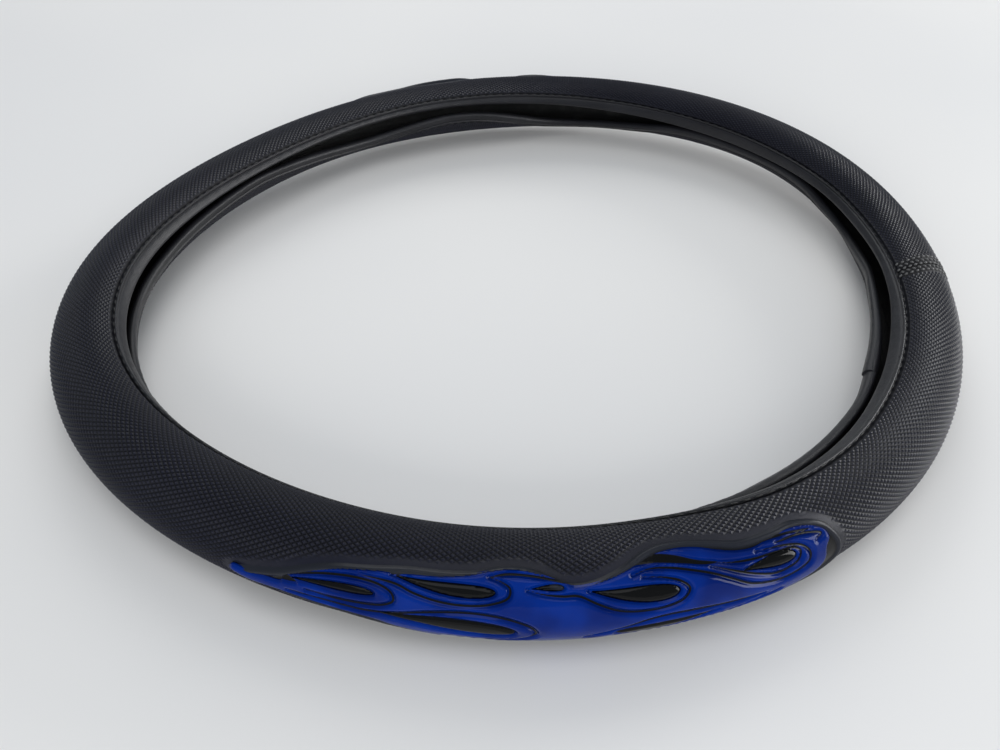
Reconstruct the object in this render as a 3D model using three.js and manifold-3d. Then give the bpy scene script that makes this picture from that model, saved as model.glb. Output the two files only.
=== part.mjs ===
// Steering wheel cover, lying flat and unworn: a rubber core ring that is open on
// its inner side, a textured skin sewn to two smooth edgings, and two flame
// inserts let into the skin on opposite sides. Millimetres, Z up, with the
// steering wheel's axis along Z.
import * as THREE from 'three';
import { mergeVertices } from 'three/addons/utils/BufferGeometryUtils.js';
import Module from 'manifold-3d';

const wasm = await Module();
wasm.setup();

// Whole cover. Angles are in degrees. The ring angle runs round the wheel, and
// the section angle runs round the grip from its outermost point, up over the top.
const coverDiameter = 390;
const gripDiameter = 34.7;
const ringSteps = 52;
const skinStep = 20;
const coreStep = 40;

// Layers
const skinThickness = 1.1;
const layerClearance = 0.3;
const coreThickness = 3;
const coreLipThickness = 1.3;
const tuckThickness = 0.9;

// Seam, facing and slot, in that order inward from the top. The empty cover rolls
// a little on its core, so each one wanders: a wave has a number of lobes, a size
// and the ring angle it peaks at. The slot is where the steering wheel goes in.
const upperSeamAngle = 130;
const facingWidth = 5.8;
const slotWidth = 6.3;
const slotLeast = 1.6;
const seamWaves = [wave(2, 8.2, 60), wave(3, 3.8, 26), wave(4, 1.8, 63)];
const facingWaves = [wave(2, 0.8, 12), wave(3, 0.7, 70)];
const slotWaves = [
  wave(1, 1.2, 310), wave(3, 2.3, 104), wave(4, 1.2, 10), wave(6, 1.2, 14), wave(7, 1.2, 24),
];

// How far the soft ring has sagged out of round, in millimetres
const sagWaves = [wave(2, 8.2, 40.3), wave(3, 3.7, 71.6), wave(4, 1, 24.2), wave(5, 0.7, 48.1)];

// Sewing
const joinAngle = 358.5;
const joinGap = 0.4;
const beadWidth = 1.4;
const beadHeight = 0.5;

// Flame inserts, heights measured outward from the skin's face
const insertAngles = { near: 272, far: 92 };
const insertDepth = 1;
const insertMargin = 0.8;
const windowClearance = 0.4;
const collarWidth = 1.5;
const collarHeight = 1.5;
const fieldHeight = 0;
const flameSeat = 0.5;
const flameClearance = 0.3;
const flameHeight = 1.9;
const dropHeight = 1.4;
const grooveWidth = 0.75;
const grooveDepth = 0.6;

const gripRadius = gripDiameter / 2;
const coverRadius = coverDiameter / 2;
const meanRadius = coverRadius - gripRadius;
const degree = Math.PI / 180;
const coreFace = -skinThickness - layerClearance;
const coreBore = coreFace - coreThickness;
const coreRebate = coreFace - coreLipThickness;
const tuckFace = coreRebate - layerClearance;
const tuckBack = tuckFace - tuckThickness;

const sweep = (arc) => arc / gripRadius / degree;
const steps = (first, last, step) =>
  Array.from({ length: Math.round((last - first) / step) + 1 }, (_, i) => first + i * step);
const skinAngles = steps(-140, 100, skinStep);
const coreAngles = steps(-140, 100, coreStep);
const ringStations = steps(0, 360 - 360 / ringSteps, 360 / ringSteps);

function wave(lobes, size, towards) {
  return { lobes, size, towards };
}

function waved(mean, waves, angle) {
  return waves.reduce((sum, { lobes, size, towards }) =>
    sum + size * Math.cos(lobes * (angle - towards) * degree), mean);
}

const upperSeam = (angle) => waved(upperSeamAngle, seamWaves, angle);
const facing = (angle) => sweep(waved(facingWidth, facingWaves, angle));
const slot = (angle) => sweep(Math.max(slotLeast, waved(slotWidth, slotWaves, angle)));
const upperLip = (angle) => upperSeam(angle) + facing(angle);
const lowerLip = (angle) => upperLip(angle) + slot(angle) - 360;
const lowerSeam = (angle) => lowerLip(angle) + sweep(facingWidth);

// Centre of the section at one ring angle, with the outward direction there
function ringFrame(angle) {
  const turn = angle * degree;
  const radius = waved(meanRadius, sagWaves, angle);
  const slope = sagWaves.reduce((sum, { lobes, size, towards }) =>
    sum - lobes * size * Math.sin(lobes * (angle - towards) * degree), 0);
  const along = new THREE.Vector3(
    slope * Math.cos(turn) - radius * Math.sin(turn),
    slope * Math.sin(turn) + radius * Math.cos(turn),
    0,
  ).normalize();
  return {
    centre: new THREE.Vector3(radius * Math.cos(turn), radius * Math.sin(turn), gripRadius),
    outward: new THREE.Vector3(along.y, -along.x, 0),
  };
}

// A point at a height above the skin's face
function onGrip(frame, sectionAngle, height) {
  const reach = gripRadius + height;
  return frame.centre.clone()
    .addScaledVector(frame.outward, reach * Math.cos(sectionAngle * degree))
    .add(new THREE.Vector3(0, 0, reach * Math.sin(sectionAngle * degree)));
}

function indexedGeometry(points, faces) {
  const geometry = new THREE.BufferGeometry();
  geometry.setAttribute('position',
    new THREE.Float32BufferAttribute(points.flatMap((p) => p.toArray()), 3));
  geometry.setIndex(faces.flat());
  geometry.computeVertexNormals();
  return geometry;
}

// Loft of a section, a closed list of [section angle, height], round the ring.
// The section runs clockwise seen along the ring, so that the faces point out.
function ringLoft(stations, section, closed) {
  const points = [];
  const faces = [];
  for (const angle of stations) {
    const frame = ringFrame(angle);
    points.push(...section(angle).map(([turn, height]) => onGrip(frame, turn, height)));
  }
  const count = section(stations[0]).length;
  const spans = closed ? stations.length : stations.length - 1;
  for (let i = 0; i < spans; i += 1) {
    const here = i * count;
    const next = ((i + 1) % stations.length) * count;
    for (let j = 0; j < count; j += 1) {
      const k = (j + 1) % count;
      faces.push([here + j, next + j, next + k], [here + j, next + k, here + k]);
    }
  }
  if (!closed) {
    const outline = section(stations[0]).map(([turn, height]) => new THREE.Vector2(
      (gripRadius + height) * Math.cos(turn * degree),
      (gripRadius + height) * Math.sin(turn * degree),
    ));
    const last = (stations.length - 1) * count;
    for (const [a, b, c] of THREE.ShapeUtils.triangulateShape(outline, [])) {
      faces.push([a, b, c], [last + a, last + c, last + b]);
    }
  }
  return indexedGeometry(points, faces);
}

// Textured skin: one strip whose ends are butted at the join
function skinSection(angle) {
  const [low, high] = [lowerSeam(angle), upperSeam(angle)];
  const turns = [
    low,
    (low + skinAngles[0]) / 2,
    ...skinAngles,
    (high + skinAngles.at(-1)) / 2,
    high,
  ];
  return [
    ...turns.map((turn) => [turn, 0]),
    ...turns.reverse().map((turn) => [turn, -skinThickness]),
  ];
}

// Rubber core: thinner at its lips, where the edgings are tucked round it
function coreSection(angle) {
  const noseTurn = sweep(skinThickness + layerClearance + coreLipThickness / 2);
  const [low, high] = [lowerLip(angle) + noseTurn, upperLip(angle) - noseTurn];
  const [lowStep, highStep] = [lowerSeam(angle), upperSeam(angle)];
  const shoulder = sweep(coreThickness);
  return [
    [low, coreFace],
    ...coreAngles.map((turn) => [turn, coreFace]),
    [high, coreFace],
    [high, coreRebate],
    [highStep, coreRebate],
    [highStep - shoulder, coreBore],
    ...coreAngles.slice(1).reverse().map((turn) => [turn, coreBore]),
    [lowStep + shoulder, coreBore],
    [lowStep, coreRebate],
    [low, coreRebate],
  ];
}

// Edging: from the seam's bead over the facing, round the core's lip and back
function edgingSection(seam, lip) {
  const side = Math.sign(lip - seam);
  const start = seam + side * sweep(layerClearance);
  const bead = side * sweep(beadWidth);
  const noseRadius = -tuckBack / 2;
  const nose = lip - side * sweep(noseRadius);
  const hollow = noseRadius - tuckThickness;
  const middle = (start + nose) / 2;
  const round = (radius, tilt) => [
    nose + side * sweep(radius * Math.cos(tilt * degree)),
    -noseRadius + radius * Math.sin(tilt * degree),
  ];
  const outline = [
    [start, -skinThickness],
    [start, beadHeight / 2],
    [start + bead / 2, beadHeight],
    [start + bead, 0],
    [middle, 0],
    ...[90, 45, 0, -45, -90].map((tilt) => round(noseRadius, tilt)),
    [start, tuckBack],
    [start, tuckFace],
    ...[-90, 0, 90].map((tilt) => round(hollow, tilt)),
    [middle, -skinThickness],
  ];
  return side > 0 ? outline : outline.reverse();
}

// Flat pattern of the insert: x runs along the ring and y round the grip, both
// in millimetres on the skin's face
const spot = (x, y) => new THREE.Vector3(x, y, 0);

// A closed curve through points that are given clockwise, returned anticlockwise
function loop(points, count) {
  const curve = new THREE.CatmullRomCurve3(points, true, 'centripetal');
  const outline = curve.getSpacedPoints(count).slice(1).map((p) => new THREE.Vector2(p.x, p.y));
  return outline.reverse();
}

// Moves each point of a closed anticlockwise outline outward
function offset(outline, distance) {
  return outline.map((point, i) => {
    const before = outline[(i + outline.length - 1) % outline.length];
    const after = outline[(i + 1) % outline.length];
    const along = after.clone().sub(before).normalize();
    return new THREE.Vector2(point.x + along.y * distance, point.y - along.x * distance);
  });
}

// A drop from its pointed tail to its round head, bowed to one side
function drop(tail, head, width, bow, count = 10) {
  const axis = head.clone().sub(tail);
  const across = new THREE.Vector3(-axis.y, axis.x, 0).normalize();
  return Array.from({ length: count }, (_, i) => {
    const turn = (i / count) * 2 * Math.PI;
    const share = (1 - Math.cos(turn)) / 2;
    const half = (width / 2) * 1.3 * Math.sin(turn) * share ** 0.75;
    const shift = 4 * bow * share * (1 - share) - half;
    return new THREE.Vector2(
      tail.x + axis.x * share + across.x * shift,
      tail.y + axis.y * share + across.y * shift,
    );
  });
}

// A groove of even width along a curve, pointed at both ends
function strip(points, width, count = 8) {
  const curve = new THREE.CatmullRomCurve3(points, false, 'centripetal');
  const sides = [[], []];
  for (let i = 0; i <= count; i += 1) {
    const at = curve.getPointAt(i / count);
    const along = curve.getTangentAt(i / count);
    const half = width * Math.min(0.5, 2.5 * (i / count) + 0.12, 2.5 * (1 - i / count) + 0.12);
    sides[0].push(new THREE.Vector2(at.x + along.y * half, at.y - along.x * half));
    sides[1].unshift(new THREE.Vector2(at.x - along.y * half, at.y + along.x * half));
  }
  return sides.flat();
}

const insertOutline = loop([
  spot(-112, -1), spot(-102, 4), spot(-86, 11), spot(-72, 14.5), spot(-48, 17.6), spot(-25, 18.6),
  spot(-11, 20.6), spot(-3, 19.2), spot(6, 15), spot(15, 15.6), spot(27, 19.8), spot(38, 24.4),
  spot(52, 24), spot(68, 20), spot(90, 19.6), spot(104, 15.5), spot(111.5, 7), spot(112.5, -3),
  spot(104, -10), spot(80, -13), spot(52, -17), spot(22, -19), spot(-10, -18.5), spot(-38, -13.5),
  spot(-54, -8.4), spot(-72, -5.6), spot(-100, -4.4),
], 52);

const flameOutline = loop([
  spot(-109.5, -1), spot(-105, 1.4), spot(-94, 2.6), spot(-89.5, 4.4), spot(-84, 7.4),
  spot(-76, 11.2), spot(-66, 13.6), spot(-54, 14), spot(-48, 14), spot(-36, 15.4), spot(-24, 17),
  spot(-14, 18.9), spot(-6, 18.4), spot(2, 15.6), spot(8, 13), spot(15, 13.6), spot(26, 16.6),
  spot(38, 20.8), spot(50, 21), spot(60, 18.2), spot(70, 15.4), spot(82, 16.2), spot(92, 16.6),
  spot(102, 13), spot(107, 7), spot(106, -2), spot(96, -7), spot(76, -9.4), spot(50, -13.4),
  spot(22, -15.6), spot(-8, -15), spot(-35, -10.4), spot(-52, -5.4), spot(-72, -3), spot(-98, -2.6),
], 56);

const dropOutlines = [
  drop(spot(-89, 4.8), spot(-57.5, 6.8), 3.4, 0.8),
  drop(spot(-53, 13.8), spot(-17.4, 11.4), 4.8, -1.4),
  drop(spot(13, 12), spot(45.6, 7.8), 6.2, -1.5),
  drop(spot(64, 9.6), spot(91, 7.6), 5.2, -1.2),
  drop(spot(-58, -0.4), spot(-10, -3), 6.4, 1),
  drop(spot(61, 13.8), spot(29, 18.4), 2.8, 0.9),
  drop(spot(62, -4), spot(20, -8.6), 5.4, 1),
];

const grooveOutlines = [
  strip([spot(-91, 3.2), spot(-75, 9.6), spot(-62, 10.6), spot(-52.6, 7.4), spot(-54, 3.2),
    spot(-64, 1.8), spot(-80, 2.2)], grooveWidth),
  strip([spot(-62, 12), spot(-49, 10.6), spot(-37, 7.4), spot(-26, 6.8), spot(-15, 9),
    spot(-12.2, 12.6), spot(-18, 16)], grooveWidth, 10),
  strip([spot(-19, 16.6), spot(-12, 17.2), spot(-4, 16), spot(6, 13.6)], grooveWidth, 6),
  strip([spot(6, 10.8), spot(20, 5.6), spot(34, 2.9), spot(45, 4.4), spot(48.8, 8.4),
    spot(44, 12.4), spot(35, 13.6)], grooveWidth),
  strip([spot(28, 15.2), spot(37, 16.2), spot(51, 13.2), spot(65, 7.4), spot(77, 2),
    spot(88, 0.8), spot(96.6, 3.8), spot(96, 9.2), spot(87, 12.8), spot(76, 14)], grooveWidth, 10),
  strip([spot(-86, -0.8), spot(-62, -1.6), spot(-44, 2.4), spot(-28, 4.4), spot(-12, 2.6),
    spot(-4.6, -2.6), spot(-8, -8), spot(-24, -8.8)], grooveWidth, 10),
  strip([spot(80, 15.2), spot(92, 13.6), spot(101, 10), spot(99.5, 8)], grooveWidth, 6),
];

// Splits every edge that is too long to lie on the curved grip once wrapped
function refined(geometry) {
  const [longestAlong, longestRound] = [22, 6.5];
  const place = geometry.getAttribute('position');
  const points = Array.from({ length: place.count }, (_, i) =>
    new THREE.Vector3().fromBufferAttribute(place, i));
  let faces = Array.from({ length: geometry.index.count / 3 }, (_, i) =>
    [0, 1, 2].map((k) => geometry.index.getX(3 * i + k)));
  const tooLong = (a, b) => Math.hypot(
    (points[a].x - points[b].x) / longestAlong,
    (points[a].y - points[b].y) / longestRound,
  ) > 1;
  for (let split = true; split;) {
    const middles = new Map();
    const middle = (a, b) => {
      const key = a < b ? `${a} ${b}` : `${b} ${a}`;
      if (!middles.has(key)) {
        middles.set(key, points.push(points[a].clone().add(points[b]).multiplyScalar(0.5)) - 1);
      }
      return middles.get(key);
    };
    faces = faces.flatMap(([a, b, c]) => splitFace([a, b, c], tooLong, middle));
    split = middles.size > 0;
  }
  return indexedGeometry(points, faces);
}

// One, two, three or four faces, by how many edges of the face are too long
function splitFace(face, tooLong, middle) {
  const long = [0, 1, 2].map((i) => tooLong(face[i], face[(i + 1) % 3]));
  const count = long.filter(Boolean).length;
  if (count === 0) return [face];
  const turn = count === 1 ? long.indexOf(true) : (long.indexOf(false) + 1) % 3;
  const [a, b, c] = [0, 1, 2].map((i) => face[(i + turn) % 3]);
  const ab = middle(a, b);
  if (count === 1) return [[a, ab, c], [ab, b, c]];
  const bc = middle(b, c);
  if (count === 2) return [[ab, b, bc], [a, ab, bc], [a, bc, c]];
  const ca = middle(c, a);
  return [[a, ab, ca], [ab, b, bc], [ca, bc, c], [ab, bc, ca]];
}

// Bends a flat pattern round the grip, centred on a ring angle
function wrapped(geometry, centreAngle) {
  const place = geometry.getAttribute('position');
  const points = Array.from({ length: place.count }, (_, i) => onGrip(
    ringFrame(centreAngle + place.getX(i) / coverRadius / degree),
    sweep(place.getY(i)),
    place.getZ(i),
  ));
  const faces = [];
  for (let i = 0; i < geometry.index.count; i += 3) {
    faces.push([0, 1, 2].map((k) => geometry.index.getX(i + k)));
  }
  return indexedGeometry(points, faces);
}

function toSolid(geometry) {
  const bare = geometry.clone();
  bare.deleteAttribute('normal');
  bare.deleteAttribute('uv');
  const merged = mergeVertices(bare, 1e-4);
  return new wasm.Manifold(new wasm.Mesh({
    numProp: 3,
    vertProperties: new Float32Array(merged.getAttribute('position').array),
    triVerts: new Uint32Array(merged.index.array),
  }));
}

function toGeometry(solid) {
  const mesh = solid.getMesh();
  const geometry = new THREE.BufferGeometry();
  geometry.setAttribute('position', new THREE.Float32BufferAttribute(mesh.vertProperties, 3));
  geometry.setIndex(Array.from(mesh.triVerts));
  return geometry;
}

function plate(outline, bottom, top) {
  const geometry = new THREE.ExtrudeGeometry(new THREE.Shape(outline), {
    depth: top - bottom,
    bevelEnabled: false,
  });
  return toSolid(geometry.translate(0, 0, bottom));
}

// Black moulding of the insert: a margin with a raised collar, a sunk field for
// the flames, and a boss in each drop
function insertBase() {
  const recess = offset(flameOutline, flameClearance);
  const collarInside = offset(insertOutline, -collarWidth);
  let solid = plate(insertOutline, -insertDepth, collarHeight)
    .subtract(plate(collarInside, insertMargin, collarHeight + 1))
    .subtract(plate(recess, fieldHeight, collarHeight + 1));
  for (const outline of dropOutlines) {
    solid = solid.add(plate(outline, -insertDepth / 2, dropHeight));
  }
  return refined(toGeometry(solid));
}

// Blue flames: a raised plate with openings for the drops and engraved grooves
function flamePlate() {
  let solid = plate(flameOutline, fieldHeight + flameSeat, flameHeight);
  for (const outline of dropOutlines) {
    solid = solid.subtract(plate(offset(outline, flameClearance), 0, flameHeight + 1));
  }
  for (const outline of grooveOutlines) {
    solid = solid.subtract(plate(outline, flameHeight - grooveDepth, flameHeight + 1));
  }
  return refined(toGeometry(solid));
}

function texturedSkin() {
  const halfGap = joinGap / meanRadius / degree / 2;
  const first = joinAngle - 360 + halfGap;
  const stations = [first, ...ringStations, joinAngle - halfGap];
  let solid = toSolid(ringLoft(stations, skinSection, false));
  const window = refined(toGeometry(
    plate(offset(insertOutline, windowClearance), -2 * skinThickness, insertMargin),
  ));
  for (const angle of Object.values(insertAngles)) {
    solid = solid.subtract(toSolid(wrapped(window, angle)));
  }
  return toGeometry(solid);
}

const finishes = {
  rubber: { color: 0x161616, roughness: 0.85, metalness: 0 },
  leatherette: { color: 0x25262a, roughness: 0.5, metalness: 0 },
  edging: { color: 0x1f2024, roughness: 0.4, metalness: 0 },
  blackGloss: { color: 0x0b0b0d, roughness: 0.25, metalness: 0 },
  blueGloss: { color: 0x0a3cae, roughness: 0.18, metalness: 0.1 },
};

function part(name, geometry, finish) {
  const mesh = new THREE.Mesh(geometry, new THREE.MeshStandardMaterial(finishes[finish]));
  mesh.name = name;
  return mesh;
}

const cover = new THREE.Group();
cover.name = 'steering_wheel_cover';
cover.add(
  part('core_ring', ringLoft(ringStations, coreSection, true), 'rubber'),
  part('textured_skin', texturedSkin(), 'leatherette'),
  part('upper_edging', ringLoft(ringStations, (angle) =>
    edgingSection(upperSeam(angle), upperLip(angle)), true), 'edging'),
  part('lower_edging', ringLoft(ringStations, (angle) =>
    edgingSection(lowerSeam(angle), lowerLip(angle)), true), 'edging'),
);
const [baseGeometry, flameGeometry] = [insertBase(), flamePlate()];
for (const [side, angle] of Object.entries(insertAngles)) {
  cover.add(
    part(`insert_base_${side}`, wrapped(baseGeometry, angle), 'blackGloss'),
    part(`insert_flames_${side}`, wrapped(flameGeometry, angle), 'blueGloss'),
  );
}

// The origin is below the middle of the ring, on the surface that it lies on
const box = new THREE.Box3().setFromObject(cover);
const middle = box.getCenter(new THREE.Vector3());
cover.position.set(-middle.x, -middle.y, -box.min.z);

export default cover;
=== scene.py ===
"""Steering wheel cover on a pale floor: skin, edgings, flame inserts and sewing.

The ring angle u runs round the wheel, anticlockwise from +X. The section angle v
runs round the grip from its outermost point, up over the top. Both are in degrees.
Sizes of the cover are in millimetres, and meshes are in metres.
"""

import logging
import math
from dataclasses import dataclass, field
from enum import Enum
from typing import Callable, Sequence

import bpy
import numpy as np
from mathutils import Matrix, Vector


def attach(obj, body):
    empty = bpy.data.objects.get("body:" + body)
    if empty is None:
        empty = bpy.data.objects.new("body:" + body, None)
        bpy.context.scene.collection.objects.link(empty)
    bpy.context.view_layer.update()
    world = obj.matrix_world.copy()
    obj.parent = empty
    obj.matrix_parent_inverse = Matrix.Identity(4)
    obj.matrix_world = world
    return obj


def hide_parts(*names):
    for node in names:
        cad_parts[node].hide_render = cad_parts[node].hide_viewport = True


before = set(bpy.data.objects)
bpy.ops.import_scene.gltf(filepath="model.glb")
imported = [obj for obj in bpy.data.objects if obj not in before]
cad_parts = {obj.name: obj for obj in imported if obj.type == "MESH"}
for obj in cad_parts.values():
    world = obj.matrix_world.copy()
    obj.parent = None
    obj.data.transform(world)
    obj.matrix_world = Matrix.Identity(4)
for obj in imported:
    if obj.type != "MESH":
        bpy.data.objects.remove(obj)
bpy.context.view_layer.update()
LOG = logging.getLogger("cover")
MM = 0.001
DEGREE = math.pi / 180
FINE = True


class Slot(Enum):
    """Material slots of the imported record."""

    CORE = "core"
    SKIN = "skin"
    EDGING = "edging"
    INSERT = "insert_base"
    FLAMES = "flames"


# Shader maths


class Value:
    """A shader socket whose arithmetic adds Math nodes."""

    def __init__(self, tree: "Shader", socket: bpy.types.NodeSocket) -> None:
        """Wraps one output socket of a material's node tree."""
        self.tree = tree
        self.socket = socket

    def _math(self, operation: str, *terms: object) -> "Value":
        """Adds one Math node and returns its result."""
        node = self.tree.node("ShaderNodeMath", {"operation": operation},
                              dict(enumerate(terms)))
        return Value(self.tree, node.outputs[0])

    def __add__(self, other: object) -> "Value":
        """Sum."""
        return self._math("ADD", self, other)

    __radd__ = __add__

    def __sub__(self, other: object) -> "Value":
        """Difference."""
        return self._math("SUBTRACT", self, other)

    def __rsub__(self, other: object) -> "Value":
        """Difference, with the value taken away."""
        return self._math("SUBTRACT", other, self)

    def __mul__(self, other: object) -> "Value":
        """Product."""
        return self._math("MULTIPLY", self, other)

    __rmul__ = __mul__

    def between(self, low: float, high: float) -> "Value":
        """Goes smoothly from 0 at low to 1 at high.

        Args:
            low: the value that gives 0.
            high: the value that gives 1.

        Returns:
            The smoothed share.
        """
        node = self.tree.node("ShaderNodeMapRange", {"interpolation_type": "SMOOTHSTEP"},
                              {"Value": self, "From Min": low, "From Max": high})
        return Value(self.tree, node.outputs[0])


class Shader:
    """Node tree of one material."""

    def __init__(self, name: str) -> None:
        """Makes an empty material with a Principled shader.

        Args:
            name: the material's name.
        """
        self.material = bpy.data.materials.new(name)
        self.material.use_nodes = True
        self.tree = self.material.node_tree
        self.surface = self.tree.nodes["Principled BSDF"]

    def node(self, kind: str, settings: dict[str, object] | None = None,
             inputs: dict[object, object] | None = None) -> bpy.types.Node:
        """Adds a node of any type.

        Args:
            kind: the node's type.
            settings: properties that are set before the sockets.
            inputs: values or links by socket name or number.

        Returns:
            The new node.
        """
        new = self.tree.nodes.new(kind)
        for name, value in (settings or {}).items():
            setattr(new, name, value)
        for key, value in (inputs or {}).items():
            self.feed(new.inputs[key], value)
        return new

    def feed(self, socket: bpy.types.NodeSocket, value: object) -> None:
        """Links a socket to a Value or another socket, or sets its number or colour."""
        if isinstance(value, Value):
            value = value.socket
        if isinstance(value, bpy.types.NodeSocket):
            self.tree.links.new(value, socket)
        else:
            socket.default_value = value

    def position(self) -> bpy.types.NodeSocket:
        """Object coordinates."""
        return self.node("ShaderNodeTexCoord").outputs["Object"]

    def noise(self, scale: float, detail: float = 3.0, roughness: float = 0.5) -> Value:
        """Noise over the object's own space, about 0.5 in the middle."""
        node = self.node("ShaderNodeTexNoise", None, {
            "Vector": self.position(), "Scale": scale, "Detail": detail,
            "Roughness": roughness})
        return Value(self, node.outputs["Fac"])

    def cells(self, scale: float) -> Value:
        """Distance to the nearest of scattered points."""
        node = self.node("ShaderNodeTexVoronoi", None,
                         {"Vector": self.position(), "Scale": scale})
        return Value(self, node.outputs["Distance"])

    def attribute(self, name: str) -> Value:
        """A number that the mesh carries on its points."""
        node = self.node("ShaderNodeAttribute", {"attribute_name": name})
        return Value(self, node.outputs["Fac"])

    def blend(self, share: Value, first: object, second: object) -> bpy.types.NodeSocket:
        """Colour that goes from the first to the second as the share goes from 0 to 1."""
        node = self.node("ShaderNodeMix", {"data_type": "RGBA"})
        self.feed(node.inputs[0], share)
        self.feed(node.inputs[6], first)
        self.feed(node.inputs[7], second)
        return node.outputs[2]

    def bump(self, height: Value, distance: float, strength: float = 1.0) -> None:
        """Gives the surface a fine relief.

        Args:
            height: the relief, from 0 to 1.
            distance: its depth in metres.
            strength: its share that is used.
        """
        node = self.node("ShaderNodeBump", None, {
            "Strength": strength, "Distance": distance, "Height": height})
        self.feed(self.surface.inputs["Normal"], node.outputs["Normal"])

    def set(self, **sockets: object) -> "Shader":
        """Sets or links sockets of the surface shader, with _ for a blank in a name."""
        for name, value in sockets.items():
            self.feed(self.surface.inputs[name.replace("_", " ")], value)
        return self


def shade(level: float, tint: tuple[float, float, float] = (1, 1, 1)) -> tuple:
    """A grey of one level, tinted, as a colour with alpha."""
    return (level * tint[0], level * tint[1], level * tint[2], 1.0)


@dataclass(frozen=True)
class Leatherette:
    """Smooth coated fabric with a fine grain and a soft sheen."""

    name: str
    colour: tuple[float, float, float]
    worn: tuple[float, float, float]
    gloss: float
    grain_depth: float
    grain_scale: float
    cloud_scale: float = 38.0
    speck_scale: float = 1500.0
    specular: float = 0.3

    def material(self) -> bpy.types.Material:
        """Builds the material."""
        shader = Shader(self.name)
        cloud = shader.noise(self.cloud_scale, 3.0).between(0.35, 0.7)
        specks = shader.noise(self.speck_scale, 2.0).between(0.6, 0.75)
        grain = shader.cells(self.grain_scale)
        fine = shader.noise(self.grain_scale * 0.6, 4.0)
        shader.set(
            Base_Color=shader.blend(cloud * 0.7 + specks * 0.3,
                                    (*self.colour, 1), (*self.worn, 1)),
            Roughness=self.gloss + 0.10 * fine + 0.05 * cloud,
            Specular_IOR_Level=self.specular,
        )
        shader.bump(grain * 0.7 + fine * 0.5, self.grain_depth)
        return shader.material


@dataclass(frozen=True)
class EmbossedSkin:
    """Coated fabric with raised diamonds, painted shade in its pits and stitch holes, and a
    darker, dull sewn band.
    """

    top: tuple[float, float, float] = (0.0115, 0.0125, 0.026)
    # The pit colour is painted shade: the cloth is one colour, made darker in its pits where
    # shade falls.
    pit_painted_shade: tuple[float, float, float] = (0.0012, 0.0012, 0.0022)
    gloss: float = 0.36
    pit_roughness: float = 0.16
    # Level of the painted shade in the stitch holes, and of the darker band along the join.
    hole_shade_and_band_level: float = 0.0012
    dark_roughness: float = 0.35
    cloud_scale: float = 30.0
    grain_scale: float = 2400.0
    grain_depth: float = 0.00006
    specular: float = 0.26

    def material(self) -> bpy.types.Material:
        """Builds the material from the relief that the mesh carries."""
        shader = Shader("skin_leatherette")
        raised = shader.attribute("raised")
        hole_shade_and_band = shader.attribute("hole_shade_and_band")
        cloud = shader.noise(self.cloud_scale, 3.0).between(0.35, 0.7)
        fine = shader.noise(self.grain_scale, 3.0)
        # Raised points take the top colour, and the pits take a painted shade.
        cloth_with_pit_shade = shader.blend(raised * (0.8 + 0.2 * cloud), (*self.pit_painted_shade, 1), (*self.top, 1))
        shader.set(
            # The stitch holes get painted shade, and the band along the join is darker and
            # duller.
            Base_Color=shader.blend(hole_shade_and_band, cloth_with_pit_shade, shade(self.hole_shade_and_band_level)),
            Roughness=(self.gloss + self.pit_roughness * (1.0 - raised)
                       + self.dark_roughness * hole_shade_and_band + 0.06 * fine),
            Specular_IOR_Level=self.specular,
        )
        shader.bump(fine, self.grain_depth)
        return shader.material


@dataclass(frozen=True)
class Rubber:
    """Matt black rubber of the core."""

    level: float = 0.010
    dusted: float = 0.022
    roughness: float = 0.82
    dust_scale: float = 160.0
    grain_scale: float = 900.0
    grain_depth: float = 0.0002

    def material(self) -> bpy.types.Material:
        """Builds the material."""
        shader = Shader("core_rubber")
        dust = shader.noise(self.dust_scale, 4.0).between(0.45, 0.75)
        shader.set(Base_Color=shader.blend(dust, shade(self.level), shade(self.dusted)),
                   Roughness=self.roughness + 0.1 * dust)
        shader.bump(shader.noise(self.grain_scale, 3.0), self.grain_depth)
        return shader.material


@dataclass(frozen=True)
class BlackMoulding:
    """Glossy black plastic of the insert, satin along its ridge, where a lighter bluish painted
    highlight is laid.
    """

    level: float = 0.0025
    ridge_highlight_level: float = 0.016
    ridge_highlight_tint: tuple[float, float, float] = (0.85, 0.95, 1.3)
    gloss: float = 0.07
    ridge_roughness: float = 0.23
    dust_scale: float = 700.0
    wave_scale: float = 260.0
    wave_depth: float = 0.0001
    specular: float = 0.15

    def material(self) -> bpy.types.Material:
        """Builds the material, which is satin on the ridge and glossy in the drops."""
        shader = Shader("insert_black")
        ridge = shader.attribute("ridge")
        dust = shader.noise(self.dust_scale, 3.0).between(0.55, 0.8)
        shader.set(
            # The ridge's lighter, bluish colour is a painted highlight.
            Base_Color=shader.blend(ridge, shade(self.level),
                                    shade(self.ridge_highlight_level, self.ridge_highlight_tint)),
            Roughness=self.gloss + self.ridge_roughness * ridge + 0.05 * dust,
            Specular_IOR_Level=self.specular,
        )
        shader.bump(shader.noise(self.wave_scale, 2.0), self.wave_depth, 0.5)
        return shader.material


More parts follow.
